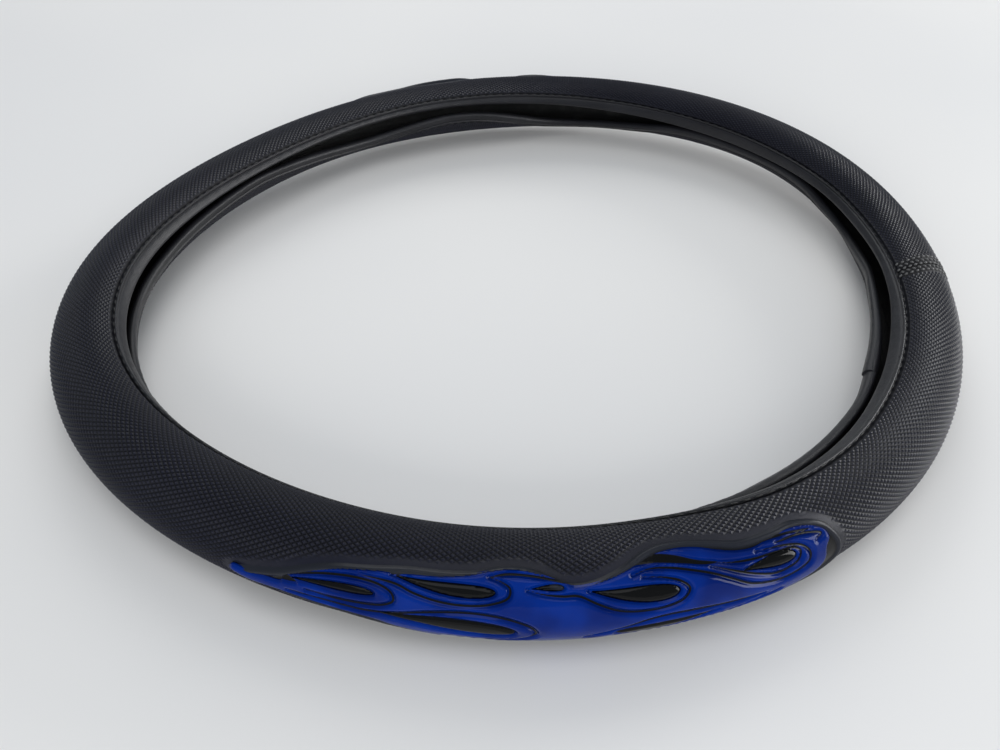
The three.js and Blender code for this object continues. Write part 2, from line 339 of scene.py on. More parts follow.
@dataclass(frozen=True)
class FlamePaint:
    """Glossy blue with black in its grooves."""

    blue: tuple[float, float, float] = (0.0001, 0.018, 0.175)
    deep: tuple[float, float, float] = (0.0001, 0.009, 0.100)
    black: float = 0.003
    groove_edge: tuple[float, float] = (-0.10, 0.12)
    rim_edge: tuple[float, float] = (-0.25, 0.9)
    rim_depth: float = 0.0005
    gloss: float = 0.04
    cloud_scale: float = 55.0
    wave_scale: float = 240.0
    specular: float = 0.12

    def material(self) -> bpy.types.Material:
        """Builds the material, whose black follows the grooves' own distance."""
        shader = Shader("insert_blue")
        gap = shader.attribute("gap")
        painted = gap.between(*self.groove_edge)
        cloud = shader.noise(self.cloud_scale, 2.0).between(0.3, 0.7)
        blue = shader.blend(cloud, (*self.blue, 1), (*self.deep, 1))
        shader.set(Base_Color=shader.blend(painted, shade(self.black), blue),
                   Roughness=self.gloss + 0.05 * cloud, Specular_IOR_Level=self.specular)
        rim = shader.attribute("rim").between(*self.rim_edge)
        shader.bump(rim + 0.08 * shader.noise(self.wave_scale, 2.0), self.rim_depth)
        return shader.material


@dataclass(frozen=True)
class Thread:
    """Twisted black sewing thread; a raised level paints a highlight on it."""

    name: str
    level: float
    fibre_scale: float = 2600.0
    fibre_depth: float = 0.0002
    roughness: float = 0.62

    def material(self) -> bpy.types.Material:
        """Builds the material."""
        shader = Shader(self.name)
        fibre = shader.noise(self.fibre_scale, 2.0)
        shader.set(Base_Color=shader.blend(fibre.between(0.35, 0.7), shade(self.level * 0.5),
                                           shade(self.level)), Roughness=self.roughness)
        shader.bump(fibre, self.fibre_depth)
        return shader.material


# The ring's own surface


@dataclass(frozen=True)
class Wave:
    """A cosine round the ring: its number of lobes, its size and where it peaks."""

    lobes: int
    size: float
    towards: float


def waved(mean: float, waves: Sequence[Wave], angle: np.ndarray) -> np.ndarray:
    """A value that wanders round the ring.

    Args:
        mean: its mean.
        waves: what is added.
        angle: ring angles in degrees.

    Returns:
        The value at each angle.
    """
    total = np.full(np.shape(angle), float(mean))
    for wave in waves:
        total = total + wave.size * np.cos(wave.lobes * (angle - wave.towards) * DEGREE)
    return total


@dataclass(frozen=True)
class Ring:
    """The soft ring: where its section is, and its seams and lips.

    Each row of rims gives a ring angle, then the section angles of the upper seam, the
    upper lip and the lower lip, read from the photograph. The flares are ring angles with
    the height of the inner side's bulge there.
    """

    cover_radius: float = 195.0
    grip_radius: float = 17.35
    middle: tuple[float, float, float] = (4.195, -1.9445, 17.0864)
    sag: tuple[Wave, ...] = (Wave(2, 8.2, 40.3), Wave(3, 3.7, 71.6), Wave(4, 1.0, 24.2),
                             Wave(5, 0.7, 48.1))
    facing_width: float = 6.4
    rims: tuple[tuple[float, float, float, float], ...] = (
        (1, 126, 145, 164), (8, 130, 151, 178), (17, 135, 160, 200), (25, 138, 166, 218),
        (31, 142, 173, 188), (38, 146, 182, 188), (45, 148, 188, 195), (52, 148, 189, 200),
        (59, 146, 186, 198), (64, 144, 181, 202), (69, 141, 175, 223), (75, 138, 169, 237),
        (80, 135, 163, 234), (85, 133, 158, 225), (90, 131, 154, 202), (95, 129, 151, 184),
        (100, 128, 148, 171), (106, 127, 145, 167), (111, 126, 144, 174), (117, 126, 144, 186),
        (123, 127, 145, 198), (129, 127, 146, 193), (135, 128, 148, 183), (144, 128, 151, 169),
        (150, 128, 153, 160), (163, 127, 154, 169), (169, 127, 154, 172), (176, 126, 153, 176),
        (182, 125, 152, 175), (188, 125, 152, 175), (200, 126, 151, 178), (215, 131, 153, 180),
        (230, 138, 156, 183), (245, 141, 158, 185), (260, 141, 156, 183), (275, 135, 152, 170),
        (283, 129, 145, 158), (290, 119, 135, 150), (296, 109, 125, 144), (301, 104, 120, 146),
        (306, 103, 120, 149), (311, 103, 123, 152), (316, 104, 127, 155), (320, 107, 131, 157),
        (325, 111, 137, 157), (330, 114, 142, 158), (335, 116, 144, 157), (340, 118, 146, 158),
        (346, 120, 146, 160), (353, 123, 145, 162))
    ease: float = 2.6
    flattening: float = 3.0
    flattening_waves: tuple[Wave, ...] = (Wave(1, 5.8, 99), Wave(3, 1.9, 43.6),
                                          Wave(4, 0.7, 42.9))
    flat_side: float = 231.0
    flat_side_waves: tuple[Wave, ...] = (Wave(1, 7.8, 112.6),)
    flat_from: float = -4.0
    flat_ease: float = 3.0
    flares: tuple[tuple[float, float], ...] = (
        (0, 2.5), (6, 0.0), (297, 0.0), (303, 1.2), (311, 1.5), (323, 1.8), (328, 1.6),
        (332, 2.1), (335, 3.2), (340, 3.6), (347, 4.0), (354, 3.5))
    flare_at: float = 168.0
    flare_width: float = 16.0
    join_lean: float = 3.4
    lean_above: tuple[float, float] = (125.0, 25.0)
    lean_below: tuple[float, float] = (-150.0, -60.0)
    join_angle: float = 358.5
    join_gap: float = 0.4

    @property
    def mean_radius(self) -> float:
        """Radius of the circle that the section's centre follows."""
        return self.cover_radius - self.grip_radius

    def sweep(self, arc: float | np.ndarray) -> float | np.ndarray:
        """Section angle of an arc on the skin's face."""
        return arc / self.grip_radius / DEGREE

    def rim(self, which: int, u: np.ndarray) -> np.ndarray:
        """A measured section angle, eased along the ring.

        Args:
            which: 1 for the upper seam, 2 for the upper lip and 3 for the lower lip.
            u: ring angles in degrees.

        Returns:
            The section angle at each ring angle.
        """
        table = np.array(self.rims)
        return self.eased(table[:, 0], table[:, which], u)

    def eased(self, knots: np.ndarray, values: np.ndarray, u: np.ndarray) -> np.ndarray:
        """Values between knots round the ring, smoothed along it."""
        lags = np.linspace(-2, 2, 11)
        weights = np.exp(-lags ** 2)
        total = np.zeros(np.shape(u))
        for lag, weight in zip(lags * self.ease, weights / weights.sum()):
            total = total + weight * np.interp(u + lag, knots, values, period=360)
        return total

    def flare(self, u: np.ndarray, v: np.ndarray) -> np.ndarray:
        """How far the inner side bulges towards the hole at the right."""
        knots, values = np.array(self.flares).T
        off = ((v - self.flare_at + 180) % 360 - 180) / self.flare_width
        return self.eased(knots, values, u) * np.exp(-off ** 2)

    def join_shift(self, v: np.ndarray) -> np.ndarray:
        """How far the join leans along the ring, in degrees of ring angle."""
        return self.join_lean * step(v, *self.lean_above) * step(v, *self.lean_below)

    def upper_seam(self, u: np.ndarray) -> np.ndarray:
        """Section angle of the upper seam."""
        return self.rim(1, u)

    def upper_lip(self, u: np.ndarray) -> np.ndarray:
        """Section angle of the upper edging's lip."""
        return self.rim(2, u)

    def lower_lip(self, u: np.ndarray) -> np.ndarray:
        """Section angle of the lower edging's lip."""
        return self.rim(3, u) - 360

    def lower_seam(self, u: np.ndarray) -> np.ndarray:
        """Section angle of the lower seam."""
        return self.lower_lip(u) + self.sweep(self.facing_width)

    def place(self, u: np.ndarray, v: np.ndarray, height: np.ndarray) -> np.ndarray:
        """Points at a height over the skin's face.

        Args:
            u: ring angles in degrees.
            v: section angles in degrees.
            height: heights in millimetres.

        Returns:
            Points in metres, in a last axis of three.
        """
        u, v, height = np.broadcast_arrays(u, v, height)
        height = height + self.flare(u, v)
        turn = u * DEGREE
        radius = waved(self.mean_radius, self.sag, u)
        slope = np.zeros(u.shape)
        for wave in self.sag:
            turned = wave.lobes * (u - wave.towards) * DEGREE
            slope = slope - wave.lobes * wave.size * np.sin(turned)
        along_x = slope * np.cos(turn) - radius * np.sin(turn)
        along_y = slope * np.sin(turn) + radius * np.cos(turn)
        length = np.hypot(along_x, along_y)
        out, rise = self.section(u, v, height)
        x = radius * np.cos(turn) + out * along_y / length + self.middle[0]
        y = radius * np.sin(turn) - out * along_x / length + self.middle[1]
        return np.stack([x, y, rise + self.middle[2]], axis=-1) * MM

    def section(self, u: np.ndarray, v: np.ndarray, height: np.ndarray
                ) -> tuple[np.ndarray, np.ndarray]:
        """Points of the flattened section, outward and up from its centre.

        Args:
            u: ring angles in degrees.
            v: section angles in degrees.
            height: heights over the skin's face in millimetres.

        Returns:
            How far out and how far up each point is.
        """
        side = waved(self.flat_side, self.flat_side_waves, u) * DEGREE
        depth = np.maximum(0, waved(self.flattening, self.flattening_waves, u))
        side_x, side_z = np.cos(side), np.sin(side)
        span = self.grip_radius - self.flat_from
        share = 2 * depth / (span + math.hypot(span, self.flat_ease))
        x, z = self.grip_radius * np.cos(v * DEGREE), self.grip_radius * np.sin(v * DEGREE)
        run_x, run_z = -np.sin(v * DEGREE), np.cos(v * DEGREE)
        past = x * side_x + z * side_z - self.flat_from
        eased = np.hypot(past, self.flat_ease)
        push = share * (past + eased) / 2
        turn = share * (1 + past / eased) / 2 * (run_x * side_x + run_z * side_z)
        run_x, run_z = run_x - turn * side_x, run_z - turn * side_z
        size = np.hypot(run_x, run_z)
        return (x - push * side_x + height * run_z / size,
                z - push * side_z - height * run_x / size)


# Meshes


def clear_selection() -> None:
    """Deselects everything, the CAD nodes too."""
    for chosen in list(bpy.context.selected_objects):
        chosen.select_set(False)


def add_mesh(name: str, points: np.ndarray, faces: np.ndarray | list,
             smooth_angle: float = 60.0) -> bpy.types.Object:
    """Makes a mesh object at the origin.

    Args:
        name: the piece's name.
        points: its points in metres.
        faces: its faces, as rows of point numbers.
        smooth_angle: the angle in degrees over which an edge stays sharp.

    Returns:
        The new object.
    """
    mesh = bpy.data.meshes.new(name)
    rows = faces.tolist() if isinstance(faces, np.ndarray) else faces
    mesh.from_pydata(points.tolist(), [], rows)
    mesh.update()
    piece = bpy.data.objects.new(name, mesh)
    bpy.context.collection.objects.link(piece)
    clear_selection()
    piece.select_set(True)
    bpy.context.view_layer.objects.active = piece
    bpy.ops.object.shade_smooth_by_angle(angle=smooth_angle * DEGREE)
    piece.select_set(False)
    return piece


def carry(piece: bpy.types.Object, name: str, values: np.ndarray) -> None:
    """Stores a number on each point of a mesh."""
    layer = piece.data.attributes.new(name, "FLOAT", "POINT")
    layer.data.foreach_set("value", values.astype(np.float32))


def lattice(columns: int, rows: int, closed_rows: bool, closed_columns: bool) -> np.ndarray:
    """Quads of a grid whose points are numbered row by row within each column.

    Args:
        columns: how many stations there are round the ring.
        rows: how many points each station has.
        closed_rows: whether the last point of a station joins its first.
        closed_columns: whether the last station joins the first.

    Returns:
        Faces of four point numbers.
    """
    i = np.arange(columns if closed_columns else columns - 1)
    j = np.arange(rows if closed_rows else rows - 1)
    i, j = np.meshgrid(i, j, indexing="ij")
    ahead, above = (i + 1) % columns, (j + 1) % rows
    quads = [i * rows + j, ahead * rows + j, ahead * rows + above, i * rows + above]
    return np.stack(quads, axis=-1).reshape(-1, 4)


def step(value: np.ndarray, low: float, high: float) -> np.ndarray:
    """Goes smoothly from 0 at low to 1 at high."""
    share = np.clip((value - low) / (high - low), 0, 1)
    return share * share * (3 - 2 * share)


# Curves of the flat flame pattern


def curve(spots: Sequence[tuple[float, float]], closed: bool, spacing: float = 0.8) -> np.ndarray:
    """An even run of points on a smooth curve through some spots.

    Args:
        spots: points of the flat pattern in millimetres.
        closed: whether the curve joins its start.
        spacing: about how far apart its points are.

    Returns:
        The points, without the first one again at the end.
    """
    knots = np.array(spots, dtype=float)
    if closed:
        knots = np.vstack([knots[-1], knots, knots[0], knots[1]])
    else:
        knots = np.vstack([2 * knots[0] - knots[1], knots, 2 * knots[-1] - knots[-2]])
    out = []
    for a, b, c, d in zip(knots[:-3], knots[1:-2], knots[2:-1], knots[3:]):
        gaps = [max(np.hypot(*(q - p)), 1e-6) ** 0.5 for p, q in ((a, b), (b, c), (c, d))]
        t0, t1 = 0.0, gaps[0]
        t2, t3 = t1 + gaps[1], t1 + gaps[1] + gaps[2]
        count = max(2, int(math.ceil(np.hypot(*(c - b)) / spacing)))
        t = np.linspace(t1, t2, count, endpoint=False)[:, None]
        a1 = (t1 - t) / (t1 - t0) * a + (t - t0) / (t1 - t0) * b
        a2 = (t2 - t) / (t2 - t1) * b + (t - t1) / (t2 - t1) * c
        a3 = (t3 - t) / (t3 - t2) * c + (t - t2) / (t3 - t2) * d
        b1 = (t2 - t) / (t2 - t0) * a1 + (t - t0) / (t2 - t0) * a2
        b2 = (t3 - t) / (t3 - t1) * a2 + (t - t1) / (t3 - t1) * a3
        out.append((t2 - t) / (t2 - t1) * b1 + (t - t1) / (t2 - t1) * b2)
    line = np.vstack(out)
    return line if closed else np.vstack([line, knots[-2]])


def distance(points: np.ndarray, line: np.ndarray, closed: bool) -> tuple[np.ndarray, np.ndarray]:
    """Distance from points to a line, and how far along the line the nearest spot is.

    Args:
        points: points of the flat pattern.
        line: the line's own points.
        closed: whether it joins its start.

    Returns:
        The distances, and the shares of the line's length.
    """
    starts = line if closed else line[:-1]
    ends = np.roll(line, -1, axis=0) if closed else line[1:]
    best = np.full(len(points), 1e9)
    where = np.zeros(len(points))
    total = len(starts)
    for k, (start, end) in enumerate(zip(starts, ends)):
        run = end - start
        share = np.clip(((points - start) @ run) / max(run @ run, 1e-12), 0, 1)
        gap = np.hypot(*(points - start - share[:, None] * run).T)
        nearer = gap < best
        best = np.where(nearer, gap, best)
        where = np.where(nearer, (k + share) / total, where)
    return best, where


def inside(points: np.ndarray, outline: np.ndarray) -> np.ndarray:
    """Signed distance to a closed outline, positive inside it."""
    gap, _ = distance(points, outline, True)
    turns = np.zeros(len(points), dtype=bool)
    for (x0, y0), (x1, y1) in zip(outline, np.roll(outline, -1, axis=0)):
        crosses = (y0 > points[:, 1]) != (y1 > points[:, 1])
        if crosses.any():
            at = x0 + (points[:, 1] - y0) * (x1 - x0) / (y1 - y0 if y1 != y0 else 1e-9)
            turns ^= crosses & (points[:, 0] < at)
    return np.where(turns, gap, -gap)


@dataclass(frozen=True)
class Drop:
    """A drop-shaped opening from its pointed tail to its round head."""

    tail: tuple[float, float]
    head: tuple[float, float]
    width: float
    bow: float = 0.0

    def outline(self) -> np.ndarray:
        """Closed outline of the drop in the flat pattern."""
        tail, head = np.array(self.tail), np.array(self.head)
        axis = head - tail
        across = np.array([-axis[1], axis[0]]) / np.hypot(*axis)
        turn = np.arange(0, 2 * math.pi, math.pi / 24)
        share = (1 - np.cos(turn)) / 2
        half = (self.width / 2) * 1.3 * np.sin(turn) * share ** 0.75
        shift = 4 * self.bow * share * (1 - share) - half
        return tail + share[:, None] * axis + shift[:, None] * across


@dataclass
class FlatRelief:
    """A closed plate with a shaped face, cut from a fine grid of the flat pattern."""

    cell: float
    low: tuple[float, float]
    high: tuple[float, float]

    def grid(self) -> tuple[np.ndarray, np.ndarray]:
        """Points of the grid and its triangles."""
        xs = np.arange(self.low[0], self.high[0] + self.cell, self.cell)
        ys = np.arange(self.low[1], self.high[1] + self.cell, self.cell)
        x, y = np.meshgrid(xs, ys, indexing="ij")
        points = np.stack([x.ravel(), y.ravel()], axis=-1)
        quads = lattice(len(xs), len(ys), False, False)
        return points, np.vstack([quads[:, [0, 1, 2]], quads[:, [0, 2, 3]]])

    def cut(self, field_at: Callable[[np.ndarray], np.ndarray]) -> tuple[np.ndarray, np.ndarray]:
        """Keeps the part of the grid where a field is positive, with a clean edge.

        Args:
            field_at: gives the signed distance to the plate's outline.

        Returns:
            Points of the flat pattern and triangles.
        """
        points, faces = self.grid()
        level = field_at(points)
        near = np.abs(level) < 0.25 * self.cell
        if near.any():
            nudge = 0.05 * self.cell
            spots = points[near]
            slope_x = (field_at(spots + (nudge, 0)) - field_at(spots - (nudge, 0))) / (2 * nudge)
            slope_y = (field_at(spots + (0, nudge)) - field_at(spots - (0, nudge))) / (2 * nudge)
            size = np.maximum(slope_x ** 2 + slope_y ** 2, 0.3)
            points[near] -= np.stack([slope_x, slope_y], axis=-1) * (level[near] / size)[:, None]
            level[near] = 0.0
        keep = level >= 0
        count = keep[faces].sum(axis=1)
        whole = faces[count == 3]
        extra, made, places = [], {}, []

        def crossing(a: int, b: int) -> int:
            """Number of the point where an edge crosses the outline."""
            key = (min(a, b), max(a, b))
            if key not in made:
                share = level[a] / (level[a] - level[b])
                made[key] = len(points) + len(places)
                places.append(points[a] + share * (points[b] - points[a]))
            return made[key]

        for face in faces[(count == 1) | (count == 2)]:
            ring = []
            for a, b in zip(face, np.roll(face, -1)):
                if keep[a]:
                    ring.append(int(a))
                if keep[a] != keep[b] and level[a] != 0 and level[b] != 0:
                    ring.append(crossing(int(a), int(b)))
            extra += [[ring[0], ring[k], ring[k + 1]] for k in range(1, len(ring) - 1)]
        points = np.vstack([points, np.array(places).reshape(-1, 2)])
        faces = np.vstack([whole, np.array(extra, dtype=int).reshape(-1, 3)])
        used, numbers = np.unique(faces, return_inverse=True)
        return points[used], numbers.reshape(-1, 3)


def closed_plate(flat: np.ndarray, faces: np.ndarray) -> tuple[np.ndarray, np.ndarray]:
    """Adds the sides and the underside to a face.

    Args:
        flat: the face's points in the flat pattern.
        faces: its triangles.

    Returns:
        All triangles, and the numbers of the flat points that the new points repeat.
    """
    edges = np.vstack([faces[:, [0, 1]], faces[:, [1, 2]], faces[:, [2, 0]]])
    count = len(flat)
    codes = edges[:, 0] * count + edges[:, 1]
    back = edges[:, 1] * count + edges[:, 0]
    rim = edges[~np.isin(codes, back)]
    under = faces[:, ::-1] + count
    a, b = rim[:, 0], rim[:, 1]
    sides = np.vstack([np.stack([a, a + count, b + count], axis=-1),
                       np.stack([a, b + count, b], axis=-1)])
    return np.vstack([faces, under, sides]), np.concatenate([np.arange(count)] * 2)


# The flame insert's flat pattern. A spot is read as a ring angle and a section angle
# of the near insert, and laid flat in millimetres.


@dataclass
class FlamePattern:
    """Outlines of the insert: its ridge, the blue border, the black drops and lines."""

    centre: float = 272.0
    ring: Ring = field(default_factory=Ring)
    groove: float = 0.8
    reach: tuple[float, float] = (122.0, 34.0)
    low: tuple[float, float] = (-115.5, -21.0)
    high: tuple[float, float] = (115.5, 27.0)

    def spots(self, *angles: tuple[float, float]) -> list[tuple[float, float]]:
        """Spots of the flat pattern from ring and section angles."""
        return [((u - self.centre) * DEGREE * self.ring.cover_radius,
                 v * DEGREE * self.ring.grip_radius) for u, v in angles]

    def __post_init__(self) -> None:
        """Draws every outline once."""
        s = self.spots
        self.ridge = curve(s(
            (239, 0), (242, 13), (245, 24), (248, 38), (250.5, 46), (254, 52), (258, 58),
            (262, 59), (265, 62), (267, 67), (269, 68), (271, 64), (273.3, 52), (274.5, 49),
            (276.5, 51), (279, 60), (282, 76), (284, 81), (287, 79), (290, 72), (292.5, 65),
            (296, 64), (299, 65), (301, 60), (303, 50), (304.3, 35), (305.2, 15), (305, -5),
            (303, -22), (300, -34), (295, -42), (290, -48), (285, -55), (280, -60),
            (275, -60), (270, -58), (265, -52), (260, -42), (257, -32), (254, -24),
            (250, -18), (245, -14), (240, -12), (238.7, -6)), True)
        self.border = curve(s(
            (239.2, -2), (239.6, 5), (241, 5), (243, 6.5), (245.3, 9), (245.5, 17), (247, 25),
            (249, 34), (251, 41), (254, 46.5), (256.3, 48), (256.9, 45.5), (258, 48.5),
            (261, 51), (264, 55), (266, 60), (268, 63), (270, 61.5), (272, 55.5), (274.3, 46),
            (275, 45.5), (277, 48), (279.5, 55), (281.5, 62), (283.5, 68.5), (286, 70),
            (288, 66), (290, 58.5), (292, 52.5), (294, 50.5), (296, 54), (298.5, 56),
            (300.5, 53), (302, 46), (303, 37), (303.3, 28), (302.8, 18), (302.8, 5),
            (302, -8), (299, -21), (294, -28), (288, -35), (282, -44), (276, -47),
            (270, -44), (264, -38), (260, -31), (257, -22), (255, -15), (250, -10),
            (245, -8), (241, -9)), True)
        self.drops = [
            Drop(*s((246, 16), (255, 22)), 3.1, 0.5),
            Drop(*s((256.5, 46), (266.9, 38)), 4.6, -0.9),
            Drop(*s((276, 39), (285.3, 27)), 6.2, -0.8),
            Drop(*s((292, 30), (298.7, 27)), 5.2, 0.4),
            Drop(*s((255, -1), (269, -12)), 6.6, 1.0),
            Drop(*s((290, -12), (279, -24)), 5.4, 0.8),
            Drop(*s((270.4, 43), (273.6, 43.5)), 2.2, 0.2),
        ]
        self.wedges = [
            s((280.5, 60), (281.6, 65), (283, 68), (285, 64), (287.4, 54), (289.7, 46.5),
              (288.4, 47), (286, 53), (283, 59)),
            s((241.5, 12), (243, 13), (245, 20), (247, 13.5), (245.2, 10.5), (243, 10)),
        ]
        self.lines = [
            s((246.2, 13), (246.2, 19), (247.5, 25), (250, 32), (253, 35.5), (255.5, 33),
              (256.8, 26), (257, 18), (256, 11), (254, 7.5), (251, 6), (248, 6.5)),
            s((253.5, 39.5), (257, 37), (259, 30), (261.5, 24.5), (264, 23), (266.5, 26),
              (268.2, 34), (268.3, 43), (267.5, 49), (266.2, 53.5)),
            s((266.2, 53.5), (268, 57), (270.5, 55.5), (273, 50.5), (274.6, 46.5)),
            s((270, 42), (271.5, 37.5), (273.5, 35), (275, 34.5), (277, 24), (279, 14.5),
              (281, 10.5), (284, 11), (285.7, 17), (286.3, 27), (285.5, 36), (284, 42.5),
              (281.5, 47.5)),
            s((280.5, 50), (282.3, 54), (284.5, 51.5), (287, 44), (289, 36), (291, 25),
              (293, 13), (295, 6), (297, 3), (299, 5), (300.4, 12), (300.5, 22),
              (299.5, 34), (297.5, 41), (295.5, 44), (294, 46)),
            s((289.5, 46.5), (291, 42.5), (293.5, 39), (296.5, 37.5), (298.6, 34.5),
              (299.3, 28), (298.9, 19), (297.5, 14.5), (296, 14.5), (294, 21), (291.5, 32),
              (289.6, 41), (288.7, 45)),
            s((292.5, 52), (295, 53.5), (298, 52), (300, 48.5), (301.3, 46)),
            s((296.5, 47), (299, 46.5), (301, 42.5), (302.3, 36.5), (301.5, 33)),
            s((246, -2), (250, -1), (254, -2), (257, 2), (260, 9.5), (263.5, 14.5),
              (266.5, 13), (269, 6), (270.6, -4), (271, -14), (270, -24), (267, -31),
              (262, -30)),
            s((276, -24), (277.3, -20), (280, -12), (282, -5), (284, -2), (287, -3),
              (291, -7), (295, -10)),
            s((276, -24), (277, -32), (281, -36), (286, -31), (292, -22), (297, -13)),
        ]

    def ridge_depth(self, points: np.ndarray) -> np.ndarray:
        """How far points lie inside the ridge's outer edge."""
        return inside(points, self.ridge)

    def border_depth(self, points: np.ndarray) -> np.ndarray:
        """How far points lie inside the blue border."""
        return inside(points, self.border)

    def drop_depth(self, points: np.ndarray) -> np.ndarray:
        """How far points lie inside a drop."""
        return np.max([inside(points, drop.outline()) for drop in self.drops], axis=0)

    def line_gap(self, points: np.ndarray) -> np.ndarray:
        """Distance to the nearest black line or wedge, negative within it."""
        gaps = []
        for spots in self.lines:
            gap, where = distance(points, curve(spots, False), False)
            taper = np.minimum(1, 0.25 + 5 * np.minimum(where, 1 - where))
            gaps.append(gap - self.groove / 2 * taper)
        gaps += [-inside(points, curve(spots, True)) for spots in self.wedges]
        return np.min(gaps, axis=0)


@dataclass
class Piece:
    """What every piece of the cover has in common."""

    ring: Ring

    def dress(self, piece: bpy.types.Object, slot: Slot, material: bpy.types.Material,
              *nodes: str) -> None:
        """Gives a piece its finish, hangs it on the root body and hides the CAD nodes that it
        replaces.

        Args:
            piece: the piece.
            slot: not used.
            material: its material.
            nodes: CAD nodes that it replaces.
        """
        piece.data.materials.clear()
        piece.data.materials.append(material)
        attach(piece, "root")
        if nodes:
            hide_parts(*nodes)
        LOG.info("%s: %d faces", piece.name, len(piece.data.polygons))


@dataclass
class Core(Piece):
    """The rubber core: a ring of C section, open on its inner side."""

    stations: int = 240
    rows: int = 24
    face: float = -1.3
    thickness: float = 3.0
    lip_thickness: float = 1.4
    setback: float = 1.5
    rebate: float = 7.5

    def build(self) -> bpy.types.Object:
        """Builds the core, thinner where the edgings tuck round its lips.

        Returns:
            The core's object.
        """
        ring = self.ring
        u = np.linspace(0, 360, self.stations, endpoint=False)
        low = ring.lower_lip(u) + ring.sweep(self.setback)
        high = ring.upper_lip(u) - ring.sweep(self.setback)
        span = (high - low) * DEGREE * ring.grip_radius
        arc = span[:, None] * np.linspace(0, 1, self.rows)
        edge = np.minimum(arc, span[:, None] - arc)
        depth = step(edge, self.rebate - 1, self.rebate + 1)
        inner = self.face - self.lip_thickness - (self.thickness - self.lip_thickness) * depth
        arcs = np.hstack([arc, arc[:, ::-1]])
        heights = np.hstack([np.full_like(arc, self.face), inner[:, ::-1]])
        v = low[:, None] + ring.sweep(arcs)
        points = ring.place(np.repeat(u[:, None], arcs.shape[1], axis=1), v, heights)
        faces = lattice(self.stations, arcs.shape[1], True, True)
        return add_mesh("rubber_core", points.reshape(-1, 3), faces, 50)


